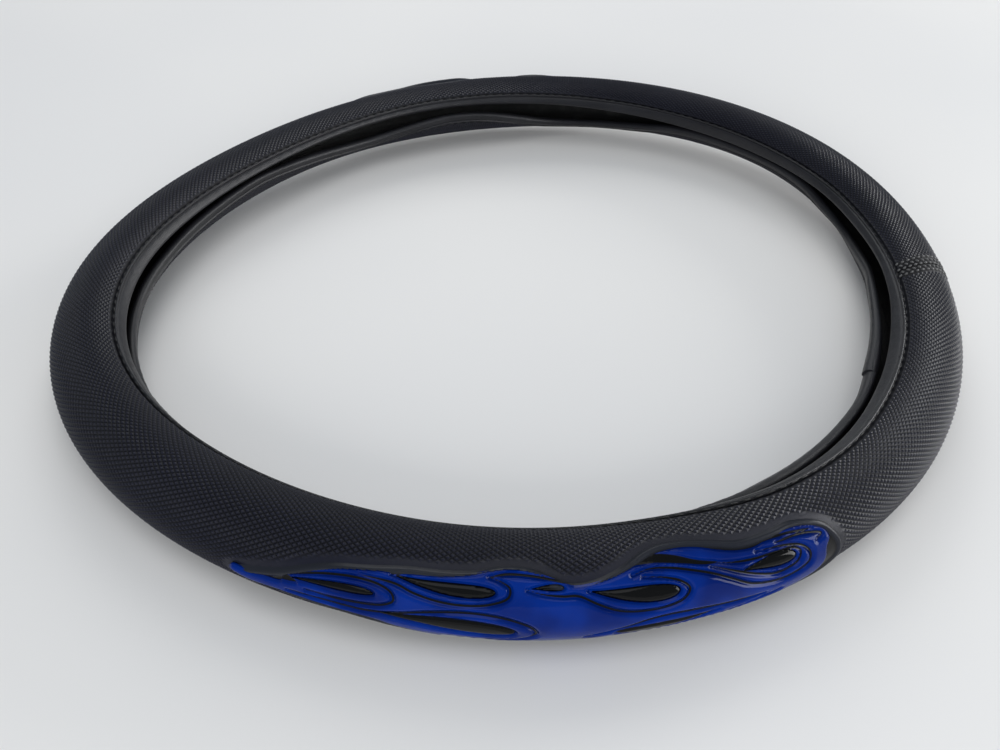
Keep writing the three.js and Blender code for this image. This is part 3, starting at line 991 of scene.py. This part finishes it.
@dataclass
class TexturedSkin(Piece):
    """The embossed strip, sewn to the edgings and cut out for the inserts."""

    pattern: FlamePattern = field(default_factory=FlamePattern)
    windows: tuple[tuple[float, float], ...] = ((272.0, 0.0), (92.0, -12.0))
    columns: int = 791 if FINE else 541
    rows: int = 91 if FINE else 45
    emboss: float = 0.55
    hem: tuple[float, ...] = (0.0, 0.22, 0.5, 0.85)
    stitch_pitch: float = 5.75
    band: float = 6.8
    facet_angle: float = 22.0
    margin: float = 0.55
    plain_edge: tuple[float, float] = (1.2, 2.6)
    plain_window: tuple[float, float] = (0.8, 3.2)
    turned_in: tuple[float, float] = (1.0, 1.3)
    butted: tuple[float, float] = (0.5, 1.4)
    lean_run: float = 80.0
    hole_at: float = 0.9
    hole_width: float = 0.6
    hole_depth: float = 0.5
    hole_ends: tuple[float, float] = (2.5, 1.4)
    overlap: float = 0.7
    length: float = 0.0
    width: float = 0.0

    def build(self) -> bpy.types.Object:
        """Builds the strip.

        Returns:
            The skin's object.
        """
        ring = self.ring
        half = ring.join_gap / ring.mean_radius / DEGREE / 2
        u = np.linspace(ring.join_angle - 360 + half, ring.join_angle - half, self.columns)
        low, high = ring.lower_seam(u), ring.upper_seam(u)
        width = (high - low) * DEGREE * ring.grip_radius
        middle = np.linspace(0, 1, self.rows)
        first = self.hem[-1] + self.margin
        across = [np.full(self.columns, s) for s in self.hem]
        across += [first + share * (width - 2 * first) for share in middle]
        across += [width - s for s in reversed(self.hem)]
        arc = np.stack(across, axis=1)
        v = low[:, None] + ring.sweep(arc)
        uu = np.repeat(u[:, None], arc.shape[1], axis=1)
        edge = np.minimum(arc, width[:, None] - arc)
        along = (u - u[0]) * DEGREE * ring.cover_radius
        ends = np.minimum(along, along[-1] - along)[:, None]
        uu = uu + ring.join_shift(v) * step(ends, self.lean_run, 0)
        column, row = np.indices(arc.shape)
        raised = np.where((column + row) % 2 == 0, 0.5, -0.5)
        flat = step(edge, *self.plain_edge) * step(ends, self.band - 0.4, self.band + 0.8)
        cover = self.cover(uu, v)
        flat = flat * step(-cover, *self.plain_window)
        height = self.emboss * raised * flat
        for across_it, (depth, run) in ((edge, self.turned_in), (ends, self.butted)):
            height = height - depth * (1 - step(across_it, 0.0, run))
        beat = (along[:, None] / self.stitch_pitch + 0.5) % 1 - 0.5
        dash = np.abs(beat) * self.stitch_pitch
        hole = np.exp(-((edge - self.hole_at) / self.hole_width) ** 2)
        hole = hole * (0.45 + 0.55 * step(dash, *self.hole_ends))
        height = height - self.hole_depth * hole
        points = ring.place(uu, v, height)
        faces = self.triangles(arc.shape)
        hidden = (cover > self.overlap).ravel()
        faces = faces[~hidden[faces].all(axis=1)]
        used, numbers = np.unique(faces, return_inverse=True)
        piece = add_mesh("skin_embossed", points.reshape(-1, 3)[used], numbers.reshape(-1, 3),
                         self.facet_angle)
        # The raised share also sets the painted shade of the pits in the skin's material.
        carry(piece, "raised", (0.5 + raised * flat).clip(0, 1).ravel()[used])
        # The stitch holes are darkened with painted shade; the band along the join is darker too.
        band = 0.8 * step(ends, self.band + 0.2, self.band - 0.6) * step(edge, 1.0, 2.0)
        carry(piece, "hole_shade_and_band", np.maximum(hole, band).ravel()[used])
        self.length = float(along[-1]) * ring.mean_radius / ring.cover_radius
        self.width = float(width.mean())
        return piece

    def cover(self, u: np.ndarray, v: np.ndarray) -> np.ndarray:
        """How far points of the skin lie under an insert."""
        depth = np.full(u.shape, -50.0)
        for centre, roll in self.windows:
            x = ((u - centre + 180) % 360 - 180) * DEGREE * self.ring.cover_radius
            y = (v - roll) * DEGREE * self.ring.grip_radius
            near = (np.abs(x) < self.pattern.reach[0]) & (np.abs(y) < self.pattern.reach[1])
            spots = np.stack([x[near], y[near]], axis=-1)
            depth[near] = self.pattern.ridge_depth(spots)
        return depth

    @staticmethod
    def triangles(shape: tuple[int, int]) -> np.ndarray:
        """Triangles whose diagonals join the lowered points, so each raised one is a diamond."""
        quads = lattice(shape[0], shape[1], False, False)
        column, row = np.indices((shape[0] - 1, shape[1] - 1))
        even = ((column + row) % 2 == 0).ravel()
        a, b, c, d = quads.T
        one = np.stack([a, b, np.where(even, d, c)], axis=-1)
        two = np.stack([np.where(even, b, a), c, d], axis=-1)
        return np.vstack([one, two])


@dataclass
class Edging(Piece):
    """A smooth edging: a bead along the seam, a facing, a rolled lip and a tuck."""

    upper: bool = True
    stations: int = 900 if FINE else 400
    bead: tuple[tuple[float, float], ...] = (
        (0.15, -1.2), (0.22, -0.5), (0.32, 0.1), (0.5, 0.42), (0.75, 0.55), (1.05, 0.46),
        (1.3, 0.14), (1.45, -0.12), (1.6, -0.14), (1.85, 0.06), (2.3, 0.16))
    lip_radius: float = 1.95
    thickness: float = 0.9
    tuck_end: float = 0.4
    sewn_in: tuple[float, float] = (1.6, -1.2)
    lap_angle: float = 335.0
    lap_height: float = 0.9
    lap_run: tuple[float, float] = (14.0, 1.0)
    wrinkles: tuple[tuple[float, float], ...] = ((5.7, 0.0), (13.3, 1.0))
    wrinkle_height: float = 0.05
    tuck_width: float = 4.0
    length: float = 0.0
    width: float = 0.0

    def profile(self, span: np.ndarray) -> tuple[np.ndarray, np.ndarray]:
        """Arc from the seam and height of each point of the section.

        Args:
            span: width from the seam to the lip at each station.

        Returns:
            Arcs and heights, a row for each station.
        """
        nose = span - self.lip_radius
        inner = self.lip_radius - self.thickness
        foot, foot_height = self.bead[-1]
        under = -2 * self.lip_radius
        spots: list[tuple[float | np.ndarray, float]] = list(self.bead)
        spots += [(foot + share * (nose - foot), foot_height * (1 - share))
                  for share in (0.25, 0.5, 0.75, 1.0)]
        spots += [self.rolled(nose, self.lip_radius, tilt) for tilt in range(75, -91, -15)]
        spots += [(nose + share * (self.tuck_end - nose), under) for share in (0.5, 1.0)]
        spots.append((self.tuck_end, under + self.thickness))
        spots += [self.rolled(nose, inner, tilt) for tilt in (-90, -30, 30, 90)]
        spots.append(self.sewn_in)
        arcs = [np.broadcast_to(arc, span.shape) for arc, _ in spots]
        heights = [np.full(span.shape, height) for _, height in spots]
        return np.stack(arcs, axis=1), np.stack(heights, axis=1)

    def rolled(self, nose: np.ndarray, radius: float, tilt: float) -> tuple[np.ndarray, float]:
        """Arc and height of a point on the lip's roll, at a tilt in degrees."""
        return (nose + radius * math.cos(tilt * DEGREE),
                radius * math.sin(tilt * DEGREE) - self.lip_radius)

    def build(self) -> bpy.types.Object:
        """Builds one edging.

        Returns:
            The edging's object.
        """
        ring = self.ring
        u = np.linspace(0, 360, self.stations, endpoint=False)
        lap = np.array([-0.05, 0.0, 0.06, 0.12]) + self.lap_angle
        u = np.sort(np.concatenate([u[np.abs(u - self.lap_angle) > 0.15], lap]))
        if self.upper:
            seam, lip = ring.upper_seam(u), ring.upper_lip(u)
        else:
            seam, lip = ring.lower_seam(u), ring.lower_lip(u)
        side = 1 if self.upper else -1
        span = np.abs(lip - seam) * DEGREE * ring.grip_radius
        arc, height = self.profile(span)
        wrinkle = sum(self.wrinkle_height * np.sin(u * rate + start)
                      for rate, start in self.wrinkles)[:, None]
        face = (height > -0.2) & (arc > 1.7)
        height = height + np.where(face, wrinkle * np.sin(arc * 0.9), 0)
        if not self.upper:
            ahead = u - self.lap_angle
            lapped = self.lap_height * step(ahead, -0.01, 0.06) * step(ahead, *self.lap_run)
            height = height + np.where(height > -2.5, lapped[:, None] * step(arc, 1.6, 2.6), 0)
        v = seam[:, None] + side * ring.sweep(arc)
        points = ring.place(np.repeat(u[:, None], arc.shape[1], axis=1), v, height)
        faces = lattice(len(u), arc.shape[1], True, True)
        if not self.upper:
            faces = faces[:, ::-1]
        name = "edging_upper" if self.upper else "edging_lower"
        piece = add_mesh(name, points.reshape(-1, 3), faces, 50)
        rolled = math.pi * (self.lip_radius - self.thickness / 2)
        self.width = float(span.mean()) + rolled + self.tuck_width
        self.length = 2 * math.pi * (ring.mean_radius - ring.grip_radius * 0.75)
        return piece


@dataclass
class FlameInsert(Piece):
    """One moulded insert: a black base with its ridge and drops, and the blue flames."""

    pattern: FlamePattern = field(default_factory=FlamePattern)
    side: str = "near"
    centre: float = 272.0
    roll: float = 0.0
    cell: float = 0.41 if FINE else 0.8
    ridge_height: float = 1.55
    ridge_at: float = 2.0
    ridge_width: float = 1.15
    margin_height: float = 0.8
    rim_height: float = -0.5
    field_height: float = 0.25
    field_edge: float = 0.6
    drop_foot: float = 0.9
    drop_height: float = 1.75
    drop_run: tuple[float, float] = (-0.4, 1.5)
    underside: float = -1.0
    satin: tuple[float, float] = (4.2, 2.6)
    flame_edge: float = 0.95
    flame_height: float = 1.95
    flame_run: tuple[float, float] = (-0.45, 1.7)
    flame_underside: float = 0.4
    clearance: float = 0.12
    far_enough: float = 2.0

    def wrap(self, flat: np.ndarray, height: np.ndarray) -> np.ndarray:
        """Bends the flat pattern round the grip."""
        u = self.centre + flat[:, 0] / self.ring.cover_radius / DEGREE
        return self.ring.place(u, self.roll + self.ring.sweep(flat[:, 1]), height)

    def base(self) -> bpy.types.Object:
        """Builds the black base."""
        pattern = self.pattern
        flat, faces = self.grid().cut(pattern.ridge_depth)
        depth = pattern.ridge_depth(flat)
        border = pattern.border_depth(flat)
        drop = pattern.drop_depth(flat)
        ridge = np.exp(-((depth - self.ridge_at) / self.ridge_width) ** 2)
        rise = step(depth, self.rim_height, self.ridge_at)
        height = self.rim_height + rise * (self.margin_height - self.rim_height)
        height = height + (self.ridge_height - self.margin_height) * ridge * rise
        height = np.where(border > self.field_edge, np.minimum(height, self.field_height), height)
        boss = self.drop_foot + (self.drop_height - self.drop_foot) * step(drop, *self.drop_run)
        height = np.where(drop > -0.05, boss, height)
        piece, repeat = self.plate(f"insert_black_{self.side}", flat, faces, height,
                                   self.underside)
        # The ridge share sets the satin and the painted highlight of the black.
        carry(piece, "ridge", step(depth, *self.satin)[repeat])
        return piece

    def grid(self) -> FlatRelief:
        """The grid that both pieces are cut from."""
        return FlatRelief(self.cell, self.pattern.low, self.pattern.high)

    def plate(self, name: str, flat: np.ndarray, faces: np.ndarray, height: np.ndarray,
              underside: float) -> tuple[bpy.types.Object, np.ndarray]:
        """Closes a plate below and bends it round the grip.

        Args:
            name: the piece's name.
            flat: points of the flat pattern.
            faces: triangles of its face.
            height: the face's heights.
            underside: the height of its underside.

        Returns:
            The plate, and the flat point that each of its points repeats.
        """
        all_faces, repeat = closed_plate(flat, faces)
        points = np.vstack([self.wrap(flat, height),
                            self.wrap(flat, np.full(len(flat), underside))])
        return add_mesh(name, points, all_faces, 55), repeat

    def flames(self) -> bpy.types.Object:
        """Builds the blue flames."""
        flat, faces = self.grid().cut(self.blue_depth)
        line = self.pattern.line_gap(flat)
        gap = np.minimum(self.blue_depth(flat), line)
        rise = (self.flame_height - self.flame_edge) * step(gap, *self.flame_run)
        piece, repeat = self.plate(f"insert_blue_{self.side}", flat, faces,
                                   self.flame_edge + rise, self.flame_underside)
        carry(piece, "gap", np.minimum(line, self.far_enough)[repeat])
        carry(piece, "rim", np.minimum(gap, self.far_enough)[repeat])
        return piece

    def blue_depth(self, points: np.ndarray) -> np.ndarray:
        """How far points lie inside the blue, whose outline leaves the drops open."""
        return np.minimum(self.pattern.border_depth(points),
                          -self.pattern.drop_depth(points) - self.clearance)


@dataclass
class Sewing(Piece):
    """Thread of the two seams and of the join."""

    pitch: float = 5.75
    length: float = 3.2
    thickness: float = 0.55
    sunk: float = -0.05
    beside: float = 0.05
    lanes: range = range(-2, 3)
    lane_width: float = 2.7
    lane_pitch: float = 2.5
    lane_lift: float = 0.12
    lean: float = 0.5
    cross_size: tuple[float, float] = (1.7, 1.05)
    ends_off: tuple[float, float] = (6.0, 5.0)

    def stitch(self) -> tuple[np.ndarray, np.ndarray]:
        """Models one stitch, 1 long and 1 thick, along X.

        Returns:
            Its points and faces.
        """
        clear_selection()
        bpy.ops.mesh.primitive_uv_sphere_add(segments=8, ring_count=6, radius=0.5,
                                             rotation=(0, math.pi / 2, 0))
        shape = bpy.context.object
        bpy.ops.object.transform_apply(location=True, rotation=True, scale=True)
        points = np.array([v.co[:] for v in shape.data.vertices])
        faces = [list(p.vertices) for p in shape.data.polygons]
        bpy.data.objects.remove(shape, do_unlink=True)
        return points, faces

    def run(self, name: str, places: np.ndarray, runs: np.ndarray, ups: np.ndarray,
            sizes: Sequence[tuple[float, float]]) -> bpy.types.Object:
        """Copies the stitch to many places.

        Args:
            name: the piece's name.
            places: centres of the stitches in metres.
            runs: the directions that they run in.
            ups: directions out of the surface.
            sizes: length and thickness of each, in millimetres.

        Returns:
            The thread's object.
        """
        shape, rows = self.stitch()
        points, faces = [], []
        for centre, run, up, (length, thick) in zip(places, runs, ups, sizes):
            run = run / np.linalg.norm(run)
            side = np.cross(up, run)
            side = side / np.linalg.norm(side)
            out = np.cross(run, side)
            axes = np.stack([run * length, side * thick, out * thick]) * MM
            start = len(points) * len(shape)
            points.append(centre + shape @ axes)
            faces += [[start + k for k in row] for row in rows]
        return add_mesh(name, np.vstack(points), faces, 80)

    def seam(self, name: str, seam_at: Callable[[np.ndarray], np.ndarray],
             side: int) -> bpy.types.Object:
        """Lays stitches along a seam.

        Args:
            name: the piece's name.
            seam_at: gives the seam's section angle.
            side: 1 for the upper seam and -1 for the lower.

        Returns:
            The thread's object.
        """
        ring = self.ring
        count = int(round(2 * math.pi * ring.cover_radius / self.pitch))
        u = (np.arange(count) + 0.5) / count * 360 + ring.join_angle - 360
        offset = ring.sweep(self.beside) * side
        before, centre, after = (ring.place(u + ahead, seam_at(u + ahead) + offset, self.sunk)
                                 for ahead in (-0.3, 0.0, 0.3))
        ups = ring.place(u, seam_at(u) + offset, 5.0) - centre
        sizes = [(self.length, self.thickness)] * count
        return self.run(name, centre, after - before, ups, sizes)

    def join(self) -> bpy.types.Object:
        """Lays the zigzag rows across the join of the skin."""
        ring = self.ring
        first = float(ring.lower_seam(np.array(0.0))) + self.ends_off[0]
        last = float(ring.upper_seam(np.array(0.0))) - self.ends_off[1]
        rows = np.arange(first, last, float(ring.sweep(self.lane_pitch / 2)))
        places, runs, ups, sizes = [], [], [], []
        width = 1 / ring.cover_radius / DEGREE
        for k, v in enumerate(rows):
            for lane in self.lanes:
                if (k + lane) % 2:
                    continue
                u = ring.join_angle + lane * self.lane_width * width + float(ring.join_shift(v))
                lean = self.lean if k % 2 else -self.lean
                centre = ring.place(u, v, self.lane_lift)
                ahead = ring.place(u + width * lean, v + 2, self.lane_lift)
                places.append(centre)
                runs.append(ahead - centre)
                ups.append(ring.place(u, v, 4.0) - centre)
                sizes.append(self.cross_size)
        return self.run("thread_join", np.array(places), np.array(runs), np.array(ups), sizes)


@dataclass(frozen=True)
class SoftBox:
    """A square lamp: its place and what it is aimed at, in metres, and its power in watts."""

    name: str
    place: tuple[float, float, float]
    target: tuple[float, float, float]
    size: float
    power: float
    lights_cloth: bool = True
    mirrored: bool = True

    def hang(self) -> None:
        """Adds the lamp to the scene."""
        lamp = bpy.data.lights.new(self.name, "AREA")
        lamp.shape = "SQUARE"
        lamp.size = self.size
        lamp.energy = self.power
        holder = bpy.data.objects.new(self.name, lamp)
        holder.location = self.place
        direction = Vector(self.target) - Vector(self.place)
        holder.rotation_euler = direction.to_track_quat("-Z", "Y").to_euler()
        holder.visible_glossy = self.mirrored
        holder.visible_diffuse = self.lights_cloth
        bpy.context.collection.objects.link(holder)


@dataclass
class Studio:
    """Pale floor, soft lights and the camera."""

    boxes: tuple[SoftBox, ...] = (
        SoftBox("window_back", (-0.2, 1.7, 1.4), (0, 0, 0), 1.2, 11.0),
        SoftBox("window_right", (1.55, 1.25, 0.5), (0, 0, 0), 0.8, 18.0),
        SoftBox("top", (0.0, -0.5, 2.0), (0, 0, 0), 1.4, 9.0),
        SoftBox("fill_front", (-0.2, -1.9, 0.55), (0, 0.1, 0), 1.0, 26.0, mirrored=False),
        SoftBox("glow_right", (1.0, -0.12, 0.24), (0.1, -0.05, 0.03), 0.8, 15.0,
                lights_cloth=False))
    sky: tuple[float, float, float, float] = (0.81, 0.895, 1.0, 1.0)
    sky_strength: float = 0.42
    floor_colours: tuple[tuple[float, float, float, float], ...] = (
        (0.84, 0.82, 0.79, 1.0), (0.80, 0.785, 0.765, 1.0))
    floor_roughness: float = 0.6
    floor_size: float = 9.0
    floor_drop: float = 0.0002
    target: tuple[float, float, float] = (-6.088, -70.5915, 18.7364)
    distance: float = 449.68
    elevation: float = 39.735
    roll: float = 1.605
    lens: float = 39.6

    def floor(self) -> None:
        """Lays the floor."""
        clear_selection()
        bpy.ops.mesh.primitive_plane_add(size=self.floor_size,
                                         location=(0, 0, -self.floor_drop))
        plane = bpy.context.object
        plane.name = "floor"
        bpy.ops.object.transform_apply(location=True, rotation=True, scale=True)
        shader = Shader("floor_pale")
        cloud = shader.noise(3.0, 2.0)
        shader.set(Base_Color=shader.blend(cloud.between(0.3, 0.7), *self.floor_colours),
                   Roughness=self.floor_roughness)
        plane.data.materials.append(shader.material)

    def lights(self) -> None:
        """Sets the soft boxes and the world."""
        for box in self.boxes:
            box.hang()
        world = bpy.data.worlds.new("studio")
        bpy.context.scene.world = world
        world.use_nodes = True
        ground = world.node_tree.nodes["Background"]
        ground.inputs["Color"].default_value = self.sky
        ground.inputs["Strength"].default_value = self.sky_strength

    def camera(self) -> None:
        """Places the camera at the photograph's viewing angle."""
        tilt = self.elevation * DEGREE
        back = Vector((0, -math.cos(tilt), math.sin(tilt)))
        right = Vector((1, 0, 0))
        up = back.cross(right)
        turn = self.roll * DEGREE
        rolled = right * math.cos(turn) + up * math.sin(turn)
        upright = up * math.cos(turn) - right * math.sin(turn)
        place = (Vector(self.target) + back * self.distance) * MM
        lens = bpy.data.cameras.new("camera")
        lens.lens = self.lens
        lens.sensor_width = 36.0
        lens.clip_start = 0.01
        holder = bpy.data.objects.new("camera", lens)
        turned = Matrix((rolled, upright, back)).transposed().to_4x4()
        holder.matrix_world = Matrix.Translation(place) @ turned
        bpy.context.collection.objects.link(holder)
        bpy.context.scene.camera = holder

    def build(self) -> None:
        """Sets the floor, the lights and the camera."""
        self.camera()
        self.floor()
        self.lights()


def main() -> None:
    """Builds the cover and its studio."""
    logging.basicConfig(level=logging.INFO, format="%(name)s %(message)s")
    scene = bpy.context.scene
    scene.view_settings.view_transform = "Standard"
    Studio().build()
    ring = Ring()
    pattern = FlamePattern(ring=ring)
    leather = EmbossedSkin().material()
    smooth = Leatherette("edging_leatherette", (0.007, 0.007, 0.009), (0.014, 0.014, 0.017),
                         0.34, 0.00010, 2600.0).material()

    core = Core(ring)
    core.dress(core.build(), Slot.CORE, Rubber().material(), "core_ring")

    skin = TexturedSkin(ring, pattern=pattern)
    strip = skin.build()
    skin.dress(strip, Slot.SKIN, leather, "textured_skin")

    for upper in (True, False):
        edging = Edging(ring, upper=upper)
        piece = edging.build()
        node = "upper_edging" if upper else "lower_edging"
        edging.dress(piece, Slot.EDGING, smooth, node)
        edging.width * MM

    black, blue = BlackMoulding().material(), FlamePaint().material()
    for side, (centre, roll) in zip(("near", "far"), skin.windows):
        insert = FlameInsert(ring, pattern=pattern, side=side, centre=centre, roll=roll)
        insert.dress(insert.base(), Slot.INSERT, black, f"insert_base_{side}")
        insert.dress(insert.flames(), Slot.FLAMES, blue, f"insert_flames_{side}")

    sewing = Sewing(ring)
    thread = Thread("seam_thread", 0.008).material()
    # The join's thread is black; its light grey is a painted highlight.
    zigzag = Thread("join_thread_highlight_grey", 0.10).material()
    sewing.dress(sewing.seam("thread_upper", ring.upper_seam, 1), Slot.EDGING, thread)
    sewing.dress(sewing.seam("thread_lower", ring.lower_seam, -1), Slot.EDGING, thread)
    sewing.dress(sewing.join(), Slot.SKIN, zigzag)

    skin.width * MM


if __name__ == "__main__":
    main()
